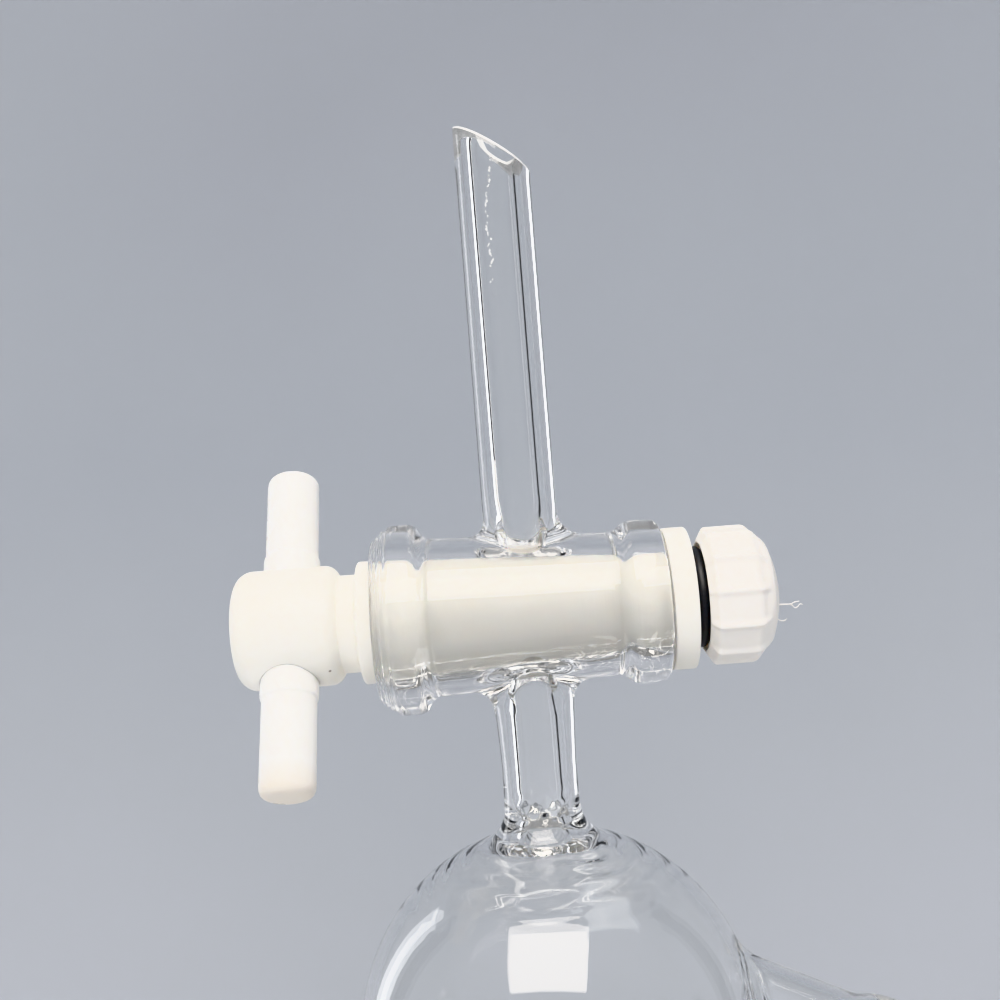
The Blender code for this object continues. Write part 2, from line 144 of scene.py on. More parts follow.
def rounded(points, steps=5):
    """An outline of (height, radius, corner) points with its corners rounded."""
    path = []
    for index, (height, radius, corner) in enumerate(points):
        here = np.array([height, radius])
        if corner == 0:
            path.append(here)
            continue
        before = np.array(points[index - 1][:2]) - here
        after = np.array(points[index + 1][:2]) - here
        start = here + before * min(0.5, corner / np.linalg.norm(before))
        end = here + after * min(0.5, corner / np.linalg.norm(after))
        for t in np.linspace(0, 1, steps + 1):
            path.append((1 - t) ** 2 * start + 2 * t * (1 - t) * here + t**2 * end)
    return np.array(path)


def dense(path, longest):
    """The same outline with no step longer than the given length."""
    rows = [path[0]]
    for start, end in zip(path, path[1:]):
        count = max(1, math.ceil(np.linalg.norm(end - start) / longest))
        rows += [start + (end - start) * step / count for step in range(1, count + 1)]
    return np.array(rows)


def arc(centre, radius, start, end, steps):
    """(height, radius) points of an arc, its angles in radians from the radius's own way."""
    angles = np.linspace(start, end, steps + 1)
    return np.stack([centre[0] + radius * np.sin(angles), centre[1] + radius * np.cos(angles)], 1)


def ease(value, low, high):
    """0 below low, 1 above high, and smooth between."""
    t = np.clip((value - low) / (high - low), 0, 1)
    return t * t * (3 - 2 * t)


# ---------------------------------------------------------------- mesh parts

def angles(sides=COLUMNS):
    return 2 * np.pi * np.arange(sides) / sides


def circle(u, v, sides=COLUMNS):
    around = angles(sides)[:, None]
    return np.cos(around) * u + np.sin(around) * v


class Patches:
    """Grids of points that are welded into one closed mesh."""

    def __init__(self):
        self.points, self.faces, self.kinds, self.count = [], [], [], 0

    def grid(self, rows, kind=CLEAR, keep=None):
        """Quads round and between rows of points; keep is False where one is left out."""
        rows = np.asarray(rows, float)
        height, width = rows.shape[:2]
        index = np.arange(height * width).reshape(height, width) + self.count
        right = np.roll(index, -1, 1)
        quads = np.stack([index[:-1], right[:-1], right[1:], index[1:]], -1)
        if keep is not None:
            quads = quads[keep]
        quads = quads.reshape(-1, 4)
        self.points.append(rows.reshape(-1, 3))
        self.faces.append(quads)
        self.kinds.append(np.full(len(quads), kind))
        self.count += height * width

    def turn(self, path, origin, axes, kind=CLEAR, sides=COLUMNS, shape=None):
        """A turned skin from an outline of (height, radius) points, reshaped by shape."""
        u, v, w = axes
        path = np.asarray(path)
        rows = path[:, 0, None, None] * w + path[:, 1, None, None] * circle(u, v, sides)
        if shape is not None:
            rows = shape(rows)
        self.grid(origin + rows, kind)

    def mesh(self, name, sharp, flow=None):
        """Weld the grids and turn every face out."""
        points = np.concatenate(self.points)
        if flow is not None:
            points = points + flow(points)
        data = bpy.data.meshes.new(name)
        data.from_pydata(points.tolist(), [], np.concatenate(self.faces).tolist())
        data.polygons.foreach_set("material_index", np.concatenate(self.kinds))
        bm = bmesh.new()
        bm.from_mesh(data)
        bmesh.ops.remove_doubles(bm, verts=bm.verts, dist=0.002 * MM)
        bmesh.ops.recalc_face_normals(bm, faces=bm.faces)
        bm.to_mesh(data)
        bm.free()
        data.shade_smooth()
        data.set_sharp_from_angle(angle=math.radians(sharp))
        return data


def build(name, patches, materials, body, nodes=(), sharp=40, flow=None):
    """Make the piece, hand it to its body, and let it stand for its CAD nodes."""
    made = bpy.data.objects.new(name, patches.mesh(name, sharp, flow))
    bpy.context.collection.objects.link(made)
    for finish in materials:
        made.data.materials.append(finish)
    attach(made, body)
    if nodes:
        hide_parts(*nodes)
    return made


def perimeter(cells_u, cells_v):
    """Points on a window's edge, in turn from the middle of its +u side."""
    half_u, half_v = cells_u // 2, cells_v // 2
    right = [(1.0, k / half_v) for k in range(half_v)]
    top = [(1.0 - k / half_u, 1.0) for k in range(cells_u)]
    left = [(-1.0, 1.0 - k / half_v) for k in range(cells_v)]
    bottom = [(-1.0 + k / half_u, -1.0) for k in range(cells_u)]
    last = [(1.0, -1.0 + k / half_v) for k in range(half_v)]
    return np.array(right + top + left + bottom + last)


def spread(loop, edge, steps):
    """Rows in a surface's own two parameters, from a tube's loop out to a window's edge."""
    return [loop * (1 - t) + edge * t for t in np.linspace(0, 1, steps + 1) ** 1.2]


def rolling_ball(origin, axes, radius, size, rest, steps):
    """Rows that a rolling ball leaves between a tube and its base, from the tube out.

    rest gives the ball's height along the tube, and the point where it touches the base.
    """
    u, v, w = axes
    size = np.broadcast_to(size, (COLUMNS,))
    radial = circle(u, v)
    across = origin + (radius + size)[:, None] * radial
    height, touch = rest(across, size)
    centre = across + height[:, None] * w
    to_base = (touch - centre) / size[:, None]
    angle = np.arccos(np.clip(-(to_base * radial).sum(1), -1, 1))[:, None]
    rows = []
    for t in np.linspace(0, 1, steps + 1):
        way = np.sin(t * angle) * to_base - np.sin((1 - t) * angle) * radial
        rows.append(centre + size[:, None] * way / np.sin(angle))
    return rows


# ---------------------------------------------------------------- skins about the stopcock's axis

class Round:
    """A skin turned about the stopcock's axis, which tubes along `up` run into.

    side is +1 where the tubes stand out of the skin and -1 where they are bored into it.
    """

    def __init__(self, radius_at, right=Y, up=Z, side=1):
        self.radius_at, self.right, self.up, self.side = radius_at, right, up, side

    def rest(self, way):
        """How a ball rests on the skin, next to a tube that leaves along way."""
        def place(across, size):
            off = across - S
            base = self.radius_at(off[:, 0])
            ball = base + self.side * size
            beside = off @ self.right
            height = np.sqrt(ball**2 - beside**2)
            centre = across + height[:, None] * way
            flat = centre - S
            flat[:, 0] = 0
            touch = centre - flat * (self.side * size / ball)[:, None]
            return height, touch

        return place

    def turn(self, patches, path, kind=CLEAR):
        patches.turn(path, S, (self.right, self.up, X), kind)

    def window(self, patches, middle, half, loops, kind=CLEAR):
        """The stretch of skin with a patch round each tube; loops holds (loop, way)."""
        cells = COLUMNS // 4
        along = np.linspace(middle - half, middle + half, cells + 1)
        rows = S + along[:, None, None] * X
        rows = rows + self.radius_at(along)[:, None, None] * circle(self.right, self.up)
        keep = np.ones((cells, COLUMNS), bool)
        for start in (COLUMNS // 8, 5 * COLUMNS // 8):
            keep[:, start:start + cells] = False
        patches.grid(rows, kind, keep)
        edge = perimeter(cells, cells) * [half, math.pi / 4] + [middle, 0]
        for loop, way in loops:
            off = loop - S
            across = np.arctan2(off @ self.right, off @ way)
            patches.grid([
                S + at[:, :1] * X + self.radius_at(at[:, :1]) * (
                    np.sin(at[:, 1:]) * self.right + np.cos(at[:, 1:]) * way
                )
                for at in spread(np.stack([off[:, 0], across], 1), edge, 7)
            ], kind)


def tube_on(patches, skin, way, origin, radius, size, steps, kind=CLEAR):
    """The fillet where a tube leaves a round skin; returns its rows from the tube out."""
    rows = rolling_ball(origin, (X, skin.right, way), radius, size, skin.rest(way), steps)
    patches.grid(rows, kind)
    return rows


# ---------------------------------------------------------------- glass body

def slanted(ring_radius, above):
    """A ring of the stem, cut by the tip's slanting plane or a plane above it."""
    middle = TIP_Z + STEM_R * TIP_SLOPE + 0.01 * MM
    ring = ring_radius * circle(X, Y)
    ring[:, 2] = middle + above - ring[:, 0] * TIP_SLOPE
    return ring


def stem_walls(patches, outer_root, inner_root):
    """The stem's two walls and the ground face of its tip."""
    lip = 0.3 * MM
    bevel = 0.45 * MM
    for root, radius, way in ((outer_root, STEM_R, -1), (inner_root, BORE_R, 1)):
        end = slanted(radius, bevel)
        patches.grid([root + (end - root) * t for t in np.linspace(0, 1, 38)])
        patches.grid([
            end, slanted(radius + way * 0.09 * MM, 0.13 * MM), slanted(radius + way * lip, 0),
        ], GROUND)
    face = np.linspace(STEM_R - lip, BORE_R + lip, 4)
    patches.grid([slanted(radius, 0) for radius in face], GROUND)


def sphere_path(radius, latitudes):
    return np.stack([GLOBE_Z + radius * np.sin(latitudes), radius * np.cos(latitudes)], 1)


def neck_blend(radius, tube, size, up, steps):
    """The arc between a neck and the globe, and the latitude where it meets the globe."""
    across = tube + size
    rise = math.sqrt((radius + size) ** 2 - across**2)
    latitude = up * math.asin(rise / (radius + size))
    meet = -np.pi + latitude
    path = arc((GLOBE_Z + up * rise, across), size, -np.pi, meet, steps)
    return path, latitude


def globe_rows(radius, low_tube, low_size, top_tube, top_size):
    """Outline of one skin of the globe: below the side window, beside it, and above."""
    low, low_latitude = neck_blend(radius, low_tube, low_size, -1, 16)
    top, top_latitude = neck_blend(radius, top_tube, top_size, 1, 10)
    window = np.radians(np.linspace(WINDOW_LOW, WINDOW_HIGH, WINDOW_CELLS + 1))
    below = sphere_path(radius, np.linspace(low_latitude, window[0], 41))
    above = sphere_path(radius, np.linspace(window[-1], top_latitude, 20))
    return (
        np.concatenate([low, below[1:]]),
        sphere_path(radius, window),
        np.concatenate([above, top[::-1][1:]]),
    )


def globe_skin(patches, radius, root, lead, rows, side):
    """One skin from the drain neck's root to the top neck, less the side tube's patch."""
    below, beside, above = rows
    ring = circle(X, Y)

    def turned(path):
        return path[:, 0, None, None] * Z + path[:, 1, None, None] * ring

    start = turned(lead[:1])[0]
    patches.grid([root + (start - root) * t for t in np.linspace(0, 1, 5)])
    patches.grid(turned(np.concatenate([lead, below[1:]])))
    lon_cells = COLUMNS // 2 - WINDOW_CELLS
    keep = np.ones((WINDOW_CELLS, COLUMNS), bool)
    keep[:, (COLUMNS - lon_cells) // 2:(COLUMNS + lon_cells) // 2] = False
    patches.grid(turned(beside), keep=keep)
    patches.grid(turned(above))
    low, high = math.radians(WINDOW_LOW), math.radians(WINDOW_HIGH)
    edge = perimeter(lon_cells, WINDOW_CELLS)
    edge = edge * [np.pi * lon_cells / COLUMNS, (high - low) / 2] + [0, (high + low) / 2]
    off = side - C
    loop = np.stack([np.arctan2(-off[:, 1], -off[:, 0]), np.arcsin(off[:, 2] / radius)], 1)
    patches.grid([
        C + radius * np.stack([
            -np.cos(at[:, 1]) * np.cos(at[:, 0]), -np.cos(at[:, 1]) * np.sin(at[:, 0]), np.sin(at[:, 1]),
        ], 1)
        for at in spread(loop, edge, 9)
    ])


def side_tube(patches, tube, size, radius, walls, steps):
    """One skin of the side tube; returns its loop on the globe."""
    def rest(across, ball):
        off = across - C
        height = np.sqrt((radius + ball) ** 2 - (off**2).sum(1))
        centre = across + height[:, None] * SIDE_AXIS
        return height, C + (centre - C) * (radius / (radius + ball))[:, None]

    axes = (-Y, SIDE_UP, SIDE_AXIS)
    rows = rolling_ball(C - SIDE_OFFSET * SIDE_UP, axes, tube, size, rest, steps)
    patches.grid(rows)
    start = walls[0][0][0]
    first = SIDE_FOOT + start[0] * SIDE_AXIS + start[1] * circle(-Y, SIDE_UP)
    patches.grid([rows[0], first])
    for path, kind in walls:
        patches.turn(path, SIDE_FOOT, axes, kind)
    return rows[-1]


def socket_walls(outer, foot, rim, mouth_r, foot_r, throat):
    """A ground socket's walls: outside with a beaded rim, inside cone, and throat."""
    outside = dense(rounded(outer + [
        (rim, mouth_r, 0.4 * MM),
        (rim - 0.8 * MM, mouth_r - 0.8 * MM * CONE_TAPER, 0),
    ]), 1.4 * MM)
    cone = dense(np.array([outside[-1], [foot, foot_r]]), 2.5 * MM)
    inside = dense(rounded(throat + [(foot, foot_r, 0)]), 1.2 * MM)
    return outside, cone, inside


def barrel_ends(patches, outer, inner):
    """Stepped ridges and a wide flange at the handle's end, and a bead at the tail."""
    head = BARREL_END - 1.0 * MM
    tail = BARREL_TAIL + 1.0 * MM
    outer.turn(patches, rounded([
        (BARREL_WINDOW, outer.radius_at(BARREL_WINDOW), 0),
        (15.6 * MM, outer.radius_at(15.6 * MM), 1.0 * MM),
        (FLANGE_START, FLANGE_R, 1.1 * MM),
        (FLANGE_END, FLANGE_R, 0.6 * MM),
        (21.7 * MM, 14.5 * MM, 0.3 * MM),
        (22.5 * MM, 14.45 * MM, 0.35 * MM),
        (22.8 * MM, 13.75 * MM, 0.25 * MM),
        (23.35 * MM, 13.7 * MM, 0.3 * MM),
        (23.5 * MM, 13.2 * MM, 0.2 * MM),
        (BARREL_END, 13.1 * MM, 0.4 * MM),
        (BARREL_END, inner.radius_at(BARREL_END), 0.5 * MM),
        (head, inner.radius_at(head), 0),
    ]))
    outer.turn(patches, rounded([
        (tail, inner.radius_at(tail), 0),
        (BARREL_TAIL, inner.radius_at(BARREL_TAIL), 0.4 * MM),
        (BARREL_TAIL, 12.7 * MM, 1.9 * MM),
        (BARREL_TAIL + 2.2 * MM, BEAD_R, 1.2 * MM),
        (BEAD_START, BEAD_R, 1.4 * MM),
        (BEAD_FOOT, outer.radius_at(BEAD_FOOT), 0.8 * MM),
        (-BARREL_WINDOW, outer.radius_at(-BARREL_WINDOW), 0),
    ]))
    for start, end in ((BARREL_WINDOW, head), (-BARREL_WINDOW, tail)):
        ends = np.array([[start, inner.radius_at(start)], [end, inner.radius_at(end)]])
        inner.turn(patches, dense(ends, 1.5 * MM))


def side_neck(patches):
    """The side tube with its socket, measured from the globe's skin on its axis.

    Returns the loops where its two skins meet the globe's.
    """
    rim = SIDE_SOCKET_START + SIDE_SOCKET
    mouth = SIDE_SOCKET_R + SIDE_SOCKET * CONE_TAPER
    outside, cone, inside = socket_walls(
        [
            (7.0 * MM, SIDE_R, 0),
            (SIDE_SOCKET_START - 3.5 * MM, SIDE_R, 1.6 * MM),
            (SIDE_SOCKET_START - 0.2 * MM, 7.85 * MM, 1.8 * MM),
            (rim - 3.6 * MM, 8.9 * MM, 0.8 * MM),
            (rim - 2.6 * MM, 9.88 * MM, 0.9 * MM),
            (rim - 0.4 * MM, 9.88 * MM, 0.8 * MM),
            (rim, 9.1 * MM, 0.5 * MM),
        ],
        SIDE_SOCKET_START, rim, mouth, SIDE_SOCKET_R,
        [(4.5 * MM, SIDE_BORE_R, 0), (SIDE_SOCKET_START - 3.2 * MM, SIDE_BORE_R, 1.5 * MM)],
    )
    drain_side = ((1 - np.sin(angles())) / 2) ** 1.5  # 1 on the side of the drain, 0 away from it
    outer_fillet = (2.6 + 6.0 * drain_side) * MM
    inner_fillet = (1.4 + 3.0 * drain_side) * MM
    inner_walls = [(inside, CLEAR), (cone, GROUND)]
    return (
        side_tube(patches, SIDE_R, outer_fillet, GLOBE_OUTER_R, [(outside, CLEAR)], 12),
        side_tube(patches, SIDE_BORE_R, inner_fillet, GLOBE_INNER_R, inner_walls, 8),
    )


def globe(patches, drain_loops, side_loops):
    """The globe between its drain neck and its top neck; returns where its two skins end."""
    outer_rows = globe_rows(GLOBE_OUTER_R, NECK_R, 6.5 * MM, TOP_NECK_R, 4 * MM)
    lead = dense(np.array([
        [STOPCOCK_Z + 17.5 * MM, NECK_ROOT_R - 0.15 * MM],
        [STOPCOCK_Z + NECK_STRAIGHT, NECK_R],
        outer_rows[0][0],
    ]), 0.8 * MM)
    globe_skin(patches, GLOBE_OUTER_R, drain_loops[0], lead, outer_rows, side_loops[0])
    inner_rows = globe_rows(GLOBE_INNER_R, BORE_R, 3.2 * MM, TOP_NECK_BORE_R, 3 * MM)
    waist = inner_rows[0][0][0] - 1.5 * MM
    lead = dense(rounded([
        (STOPCOCK_Z + 15 * MM, BORE_R, 0),
        (waist - 3.0 * MM, BORE_R, 1.5 * MM),
        (waist, BORE_R - 0.55 * MM, 1.2 * MM),
        (*inner_rows[0][0], 0),
    ]), 0.6 * MM)
    globe_skin(patches, GLOBE_INNER_R, drain_loops[1], lead, inner_rows, side_loops[1])
    return outer_rows[2][-1], inner_rows[2][-1]


def top_neck(patches, outer_end, inner_end):
    """The top neck with its socket, from the ends of the globe's two skins."""
    foot = TOP_RIM_Z - TOP_SOCKET
    outside, cone, inside = socket_walls(
        [
            (outer_end[0], TOP_NECK_R, 0),
            (foot - 3.0 * MM, TOP_NECK_R, 1.5 * MM),
            (foot, 10.5 * MM, 1.5 * MM),
            (TOP_RIM_Z - 4.2 * MM, 11.3 * MM, 0.8 * MM),
            (TOP_RIM_Z - 2.9 * MM, 12.48 * MM, 1.0 * MM),
            (TOP_RIM_Z - 0.4 * MM, 12.48 * MM, 1.0 * MM),
            (TOP_RIM_Z, 11.6 * MM, 0.6 * MM),
        ],
        foot, TOP_RIM_Z, TOP_SOCKET_R + TOP_SOCKET * CONE_TAPER, TOP_SOCKET_R,
        [(inner_end[0], TOP_NECK_BORE_R, 0), (foot - 0.8 * MM, TOP_NECK_BORE_R, 0.3 * MM)],
    )
    for path, kind in ((outside, CLEAR), (cone, GROUND), (inside, CLEAR)):
        patches.turn(path, np.zeros(3), (X, Y, Z), kind)


def make_glass_body():
    """The whole fused body: barrel, stem, drain neck, side neck, globe and top neck."""
    patches = Patches()
    outer = Round(lambda x: BARREL_R + BARREL_TAPER * x)
    inner = Round(lambda x: PLUG_BORE_R + CONE_TAPER * x)
    barrel_ends(patches, outer, inner)

    # Stem and drain neck where they leave the barrel
    stem_fillet = (3.3 - 0.8 * np.cos(angles())) * MM
    stem_out = tube_on(patches, outer, -Z, S, STEM_R, stem_fillet, 10)
    stem_in = tube_on(patches, inner, -Z, S, BORE_R, 0.5 * MM, 4)
    neck_out = tube_on(patches, outer, Z, S, NECK_ROOT_R, 3.4 * MM, 10)
    neck_in = tube_on(patches, inner, Z, S, BORE_R, 0.5 * MM, 4)
    outer.window(patches, 0, BARREL_WINDOW, [(stem_out[-1], -Z), (neck_out[-1], Z)])
    inner.window(patches, 0, BARREL_WINDOW, [(stem_in[-1], -Z), (neck_in[-1], Z)])
    stem_walls(patches, stem_out[0], stem_in[0])

    side_loops = side_neck(patches)
    top_ends = globe(patches, (neck_out[0], neck_in[0]), side_loops)
    top_neck(patches, *top_ends)
    return patches


def flow_marks(points):
    """How far the flame left each point of the glass from its true shape."""
    off = points - C
    distance = np.linalg.norm(off, axis=1)
    around = np.arctan2(points[:, 1], points[:, 0])
    from_drain = GLOBE_R * np.arccos(np.clip(-off[:, 2] / distance, -1, 1)) / MM
    inside = distance < (GLOBE_R + GLOBE_INNER_R) / 2
    wander = 1.1 * np.sin(2 * around + 1) + 0.7 * np.sin(3 * around) + 0.35 * np.sin(7 * around + 2)
    wander += 0.6 * np.sin(5 * around + 0.35 * from_drain)
    wave = np.where(
        inside,
        np.sin(2 * np.pi * (from_drain + wander) / 3.9),
        np.sin(2 * np.pi * (from_drain + 1.2 - wander) / 4.6),
    )
    reach = ease(from_drain, 6, 11) * (1 - ease(from_drain, 13, 31))
    reach *= 1 - ease(distance / MM, 32.6, 34.5)
    rings = reach * wave * np.where(inside, 0.085, 0.015) * MM * (1 + 0.5 * np.sin(2 * around + 0.6))
    shift = rings[:, None] * off / distance[:, None]

    # Molten corners where the tubes were joined
    level = (points[:, 2] - STOPCOCK_Z) / MM
    out = np.hypot(points[:, 0], points[:, 1])
    for middle, depth, width in ((-13.5, 0.32, 2.2), (13.8, 0.22, 1.8), (31.5, 0.30, 2.0)):
        near = np.exp(-(((level - middle) / width) ** 2)) * (1 - ease(out / MM, 8, 11))
        near *= ease(np.abs(level), 9.4, 10.6)
        lumps = (
            np.sin(3 * around + 0.5 * middle) * 0.5
            + np.sin(5 * around + 1.7 * level) * 0.3
            + np.sin(8 * around - 2.3 * level) * 0.2
        )
        lumps *= np.where(out < 4.5 * MM, 1.0, 0.35)
        away = np.stack([points[:, 0], points[:, 1], np.zeros(len(points))], 1)
        shift += (near * lumps * depth * MM / np.maximum(out, MM))[:, None] * away
    return shift


# ---------------------------------------------------------------- stopcock

def make_plug():
    """The plug: a threaded tail with two flats, a ground cone, a collar and a hub."""
    patches = Patches()
    cone = Round(lambda x: PLUG_R + CONE_TAPER * x, HANDLE_ACROSS, HANDLE_ALONG, -1)
    hub = Round(lambda x: HUB_R + 0 * x, HANDLE_ACROSS, HANDLE_ALONG, -1)
    window = 6 * MM
    corner = 3 * MM
    hub_window = HUB_END - corner - HANDLE_X
    cone_tail, cone_end = -21.7 * MM, 26.6 * MM
    collar_r, hub_start, shoulder = 7.85 * MM, 29.8 * MM, 2.3 * MM
    root_r = TAIL_R - 0.75 * MM

    def threaded(rows):
        """Cut the thread and its two flats into the tail."""
        turn = np.arctan2(rows[..., 2], rows[..., 1]) / (2 * np.pi)
        along = rows[..., 0] / THREAD_PITCH
        crest = 1 - np.abs(2 * ((along - turn) % 1) - 1)
        out = -rows[..., 0] / MM
        run = ease(out, THREAD_START, THREAD_START + 0.8) * (1 - ease(out, THREAD_END - 0.7, THREAD_END))
        radius = np.hypot(rows[..., 1], rows[..., 2])
        threads = ease(crest, 0.15, 0.85) * (TAIL_R - root_r) * run
        scale = np.where(radius > 0.9 * root_r, (radius + threads) / np.maximum(radius, MM), 1)
        rows = rows * np.stack([np.ones_like(scale), scale, scale], -1)
        flat = np.clip(rows[..., 1], -TAIL_HALF_FLAT, TAIL_HALF_FLAT)
        rows[..., 1] = np.where(radius < 1.01 * root_r, flat, rows[..., 1])
        return rows

    frame_axes = (cone.right, cone.up, X)
    tail = rounded([
        (TAIL_END, 0, 0), (TAIL_END, root_r, 0.3 * MM), (cone_tail, root_r, 0),
    ])
    patches.turn(dense(tail, 0.16 * MM), S, frame_axes, shape=threaded)
    patches.turn(dense(rounded([
        (cone_tail, root_r, 0),
        (cone_tail, cone.radius_at(cone_tail), 0.4 * MM),
        (-window, cone.radius_at(-window), 0),
    ]), 1.5 * MM), S, frame_axes, shape=threaded)
    bulge = arc((hub_start + shoulder, HUB_R - shoulder), shoulder, -math.pi / 3, 0, 10)
    collar = rounded([
        (window, cone.radius_at(window), 0),
        (cone_end, cone.radius_at(cone_end), 0.5 * MM),
        (cone_end + 0.4 * MM, collar_r, 0.3 * MM),
        (hub_start, collar_r, 0.2 * MM),
        (*bulge[0], 0),
    ])
    front = [[HANDLE_X - hub_window, HUB_R]]
    cone.turn(patches, dense(np.concatenate([collar, bulge[1:], front]), 1.5 * MM))
    crown = arc((HUB_END - corner, HUB_R - corner), corner, 0, math.pi / 2, 10)
    hub.turn(patches, dense(np.concatenate([crown, [[HUB_END, 0]]]), 1.5 * MM))
    hub_middle = S + HANDLE_X * X
    for skin, middle, half, origin, radius, edge in (
        (cone, 0, window, S, PLUG_PORT_R, 0.25 * MM),
        (hub, HANDLE_X, hub_window, hub_middle, HANDLE_MIDDLE_R + 0.02 * MM, 0.15 * MM),
    ):
        above = tube_on(patches, skin, skin.up, origin, radius, edge, 4)
        below = tube_on(patches, skin, -skin.up, origin, radius, edge, 4)
        patches.grid([above[0] + (below[0] - above[0]) * t for t in np.linspace(0, 1, 7)])
        skin.window(patches, middle, half, [(above[-1], skin.up), (below[-1], -skin.up)])
    return patches


def make_handle_bar():
    """The cross bar: a thicker middle and two arms with rounded ends."""
    half = rounded([
        (-HANDLE_HALF, 0, 0),
        (-HANDLE_HALF, HANDLE_R, 1.7 * MM),
        (-HANDLE_MIDDLE_HALF - 0.5 * MM, HANDLE_R, 0.25 * MM),
        (-HANDLE_MIDDLE_HALF, HANDLE_MIDDLE_R, 0.35 * MM),
        (0, HANDLE_MIDDLE_R, 0),
    ])
    path = np.concatenate([half, (half * [-1, 1])[::-1][1:]])
    patches = Patches()
    patches.turn(dense(path, 1.5 * MM), S + HANDLE_X * X, (X, HANDLE_ACROSS, HANDLE_ALONG), sides=96)
    return patches


def make_washer():
    """The flat washer, its bore keyed on the tail's flats."""
    def keyed(rows):
        inner = np.hypot(rows[..., 1], rows[..., 2]) < TAIL_BORE_R + 0.3 * MM
        limit = TAIL_HALF_FLAT + 0.3 * MM
        rows[..., 1] = np.where(inner, np.clip(rows[..., 1], -limit, limit), rows[..., 1])
        return rows

    edge = 0.35 * MM
    path = rounded([
        (WASHER_BACK + 1.5 * MM, TAIL_BORE_R, 0),
        (WASHER_BACK, TAIL_BORE_R, 0.2 * MM),
        (WASHER_BACK, WASHER_R, edge),
        (WASHER_FACE, WASHER_R, edge),
        (WASHER_FACE, TAIL_BORE_R, 0.2 * MM),
        (WASHER_BACK + 1.5 * MM, TAIL_BORE_R, 0),
    ])
    patches = Patches()
    patches.turn(path, S, (Y, Z, X), shape=keyed)
    return patches


def make_o_ring():
    patches = Patches()
    patches.turn(arc((O_RING_X, 7.0 * MM), 1.14 * MM, 0, 2 * np.pi, 24), S, (Y, Z, X), sides=96)
    return patches


def make_nut():
    """The cap nut: twelve narrow ribs between shallow panels, two chamfers and a low dome."""
    rib_width = 0.6 * MM

    def ribbed(rows):
        radius = np.hypot(rows[..., 1], rows[..., 2])
        turn = (np.arctan2(rows[..., 2], rows[..., 1]) - NUT_TURN) * NUT_FLUTES / (2 * np.pi) % 1
        pitch = 2 * np.pi * NUT_R / NUT_FLUTES
        from_rib = pitch * np.minimum(turn, 1 - turn)
        panel = 1 - np.exp(-((from_rib / rib_width) ** 2))
        dip = (0.55 * panel + 0.15 * np.sin(np.pi * turn) ** 2) * MM
        dip = dip * ease(radius, 8.6 * MM, NUT_R - 0.6 * MM)
        scale = 1 - dip / np.maximum(radius, MM)
        return rows * np.stack([np.ones_like(scale), scale, scale], -1)

    rise = NUT_BACK - NUT_TOP
    dome_r = (NUT_DOME_R**2 + rise**2) / (2 * rise)
    spread_angle = math.asin(NUT_DOME_R / dome_r)
    dome = arc((NUT_TOP + dome_r, 0), dome_r, -math.pi / 2, spread_angle - math.pi / 2, 12)
    recess = NUT_FACE - 0.9 * MM
    recess_r = 8.65 * MM
    path = rounded([
        (*dome[-1], 0),
        (NUT_BACK + 0.05 * MM, NUT_DOME_R + 0.25 * MM, 0.2 * MM),
        (NUT_BACK_SHOULDER, NUT_R, 0.8 * MM),
        (NUT_SHOULDER, NUT_R, 0.5 * MM),
        (NUT_FACE, 9.1 * MM, 0.25 * MM),
        (NUT_FACE, recess_r, 0.15 * MM),
        (recess, recess_r, 0.15 * MM),
        (recess, TAIL_BORE_R, 0.3 * MM),
        (NUT_BORE_END, TAIL_BORE_R, 0.3 * MM),
        (NUT_BORE_END, 0, 0),
    ])
    patches = Patches()
    path = dense(np.concatenate([dome[:-1], path]), 0.7 * MM)
    patches.turn(path, S, (Y, Z, X), sides=28 * NUT_FLUTES, shape=ribbed)
    return patches


def make_gate_thread():
    """The hairs of plastic that the mould's gate left on the nut's dome, routed in millimetres."""
    straight = [(0.5, 0, 0), (-1.2, 0.04, 0.04), (-2.2, 0, 0.12), (-2.6, -0.05, -0.2), (-3.5, 0.05, -0.28)]
    looped = [
        (-2.0, 0, 0.1), (-2.4, 0.05, 0.3), (-2.7, 0.1, 0.8),
        (-3.2, 0.15, 0.65), (-3.6, 0.1, 0.1), (-4.0, 0, 0.3),
    ]
    bent = [(0.7, 0, 2.0), (0.1, 0, 2.35), (-0.5, 0.05, 2.7), (-1.1, 0, 2.6), (-1.3, 0, 2.3)]
    patches = Patches()
    base = S + np.array([NUT_TOP + 0.15 * MM, -1.0 * MM, 2.2 * MM])
    for hair in (straight, looped, bent):
        route = np.array(hair)
        for _ in range(2):
            corners = [(0.75 * a + 0.25 * b, 0.25 * a + 0.75 * b) for a, b in zip(route, route[1:])]
            route = np.concatenate([route[:1], *corners, route[-1:]])
        thin = np.linspace(0.13, 0.06, len(route))
        rows = [base + point * MM + width * MM * circle(Y, Z, 8) for point, width in zip(route, thin)]
        ends = [np.repeat(row.mean(0)[None], 8, 0) for row in (rows[0], rows[-1])]
        patches.grid([ends[0]] + rows + [ends[1]])
    return patches


